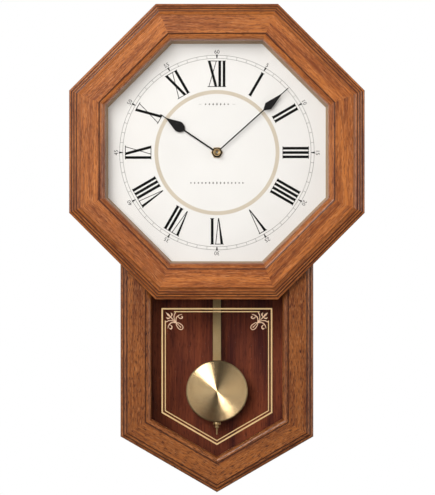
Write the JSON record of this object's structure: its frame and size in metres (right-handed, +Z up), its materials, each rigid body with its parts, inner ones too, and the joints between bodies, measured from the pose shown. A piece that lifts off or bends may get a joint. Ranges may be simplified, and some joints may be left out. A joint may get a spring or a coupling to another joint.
{
  "type": "wall clock",
  "caption": "Octagonal oak wall clock with a hinged glazed door, white Roman dial, and a pointed trunk with a glazed front and a brass pendulum.",
  "frame": {"origin": "centre of the round hole of the keyhole hanger plate, in the plane of the wall", "axes": "+Z up, the dial faces -Y, the wall lies on +Y, +X to the right of someone reading the clock"},
  "size_m": [0.4, 0.118, 0.6634],
  "materials": {
    "oak": "satin varnish",
    "back_board": "stained, matt",
    "fibre_board": "raw",
    "glass": "clear",
    "dial_white": "matt print",
    "surround": "satin",
    "brass": "polished",
    "black_paint": "satin",
    "housing_plastic": "moulded",
    "white_plastic": "moulded",
    "steel": "zinc plated",
    "magnet": "moulded ferrite",
    "cell": "printed sleeve",
    "circuit": "solder mask",
    "copper": "enamelled wire"
  },
  "bodies": {
    "case": {"case_top": "oak", "case_upper_sides": "oak", "case_sides": "oak", "case_shoulders": "oak", "trunk_sides": "oak", "trunk_feet": "oak", "trunk_stiles": "oak", "foot_rails": "oak", "trunk_beading": "oak", "backboard": "back_board", "hanger_block": "fibre_board", "dial_blocks": "fibre_board", "cross_rail": "fibre_board", "dial_board": "fibre_board", "trunk_glass": "glass", "dial_plate": "dial_white", "dial_surround": "surround", "centre_bush": "brass", "bush_nut": "brass", "hinge_case_leaves": "brass", "movement_housing": "housing_plastic", "movement_cover": "housing_plastic", "speaker": "housing_plastic", "hanger_plate": "steel", "case_screws": "steel", "hinge_pins": "steel", "battery_contacts": "steel", "pendulum_pivot": "steel", "catch_magnet": "magnet", "batteries": "cell", "circuit_board": "circuit", "drive_coil": "copper"},
    "door": {"door_rail_top": "oak", "door_rail_upper_right": "oak", "door_rail_right": "oak", "door_rail_lower_right": "oak", "door_rail_bottom": "oak", "door_rail_lower_left": "oak", "door_rail_left": "oak", "door_rail_upper_left": "oak", "door_glass": "glass", "door_beading": "oak", "hinge_door_leaves": "brass", "catch_plate": "steel", "door_screws": "steel"},
    "minute_work": {"minute_hand": "black_paint", "minute_arbor": "brass", "hand_nut": "brass"},
    "hour_work": {"hour_hand": "black_paint", "hour_wheel": "white_plastic"},
    "motion_wheel": {"motion_wheel": "white_plastic"},
    "setting_knob": {"setting_knob": "white_plastic"},
    "volume_knob": {"volume_knob": "white_plastic"},
    "melody_switch": {"melody_switch": "white_plastic"},
    "night_switch": {"night_switch": "white_plastic"},
    "pendulum": {"pendulum_leader": "housing_plastic", "pendulum_rod": "steel"},
    "bob": {"bob": "brass"},
    "rating_nut": {"rating_nut": "brass"}
  },
  "joints": [
    {"name": "door_hinge", "type": "hinge", "parent": "case", "child": "door", "pos_m": [0.1913, -0.0887, -0.14], "axis": [0, 0, 1], "range_deg": [0, 100]},
    {"name": "minute_hand", "type": "hinge", "parent": "case", "child": "minute_work", "pos_m": [0, -0.0863, -0.14], "axis": [0, 1, 0], "continuous": true},
    {"name": "hour_hand", "type": "hinge", "parent": "case", "child": "hour_work", "pos_m": [0, -0.0823, -0.14], "axis": [0, 1, 0], "continuous": true},
    {"name": "motion_wheel", "type": "hinge", "parent": "case", "child": "motion_wheel", "pos_m": [0, -0.0665, -0.152], "axis": [0, 1, 0], "continuous": true},
    {"name": "setting_knob", "type": "hinge", "parent": "case", "child": "setting_knob", "pos_m": [0, -0.035, -0.164], "axis": [0, 1, 0], "continuous": true},
    {"name": "volume_knob", "type": "hinge", "parent": "case", "child": "volume_knob", "pos_m": [0.024, -0.036, -0.17], "axis": [0, 1, 0], "range_deg": [0, 270]},
    {"name": "melody_switch", "type": "slide", "parent": "case", "child": "melody_switch", "axis": [1, 0, 0], "range_m": [0, 0.004]},
    {"name": "night_switch", "type": "slide", "parent": "case", "child": "night_switch", "axis": [1, 0, 0], "range_m": [0, 0.004]},
    {"name": "pendulum_swing", "type": "hinge", "parent": "case", "child": "pendulum", "pos_m": [0, -0.0314, -0.202], "axis": [0, 1, 0], "range_deg": [-4, 4]},
    {"name": "bob_rise", "type": "slide", "parent": "pendulum", "child": "bob", "axis": [0, 0, 1], "range_m": [-0.005, 0.005]},
    {"name": "rating_nut", "type": "hinge", "parent": "bob", "child": "rating_nut", "pos_m": [0, -0.033, -0.516], "axis": [0, 0, 1], "range_deg": [-3600, 3600]}
  ],
  "couplings": [
    {"joint": "hour_hand", "follows": "minute_hand", "ratio": 0.083333},
    {"joint": "motion_wheel", "follows": "minute_hand", "ratio": -0.33333},
    {"joint": "setting_knob", "follows": "minute_hand", "ratio": 1},
    {"joint": "rating_nut", "follows": "bob_rise", "rad_per_m": 12566}
  ]
}
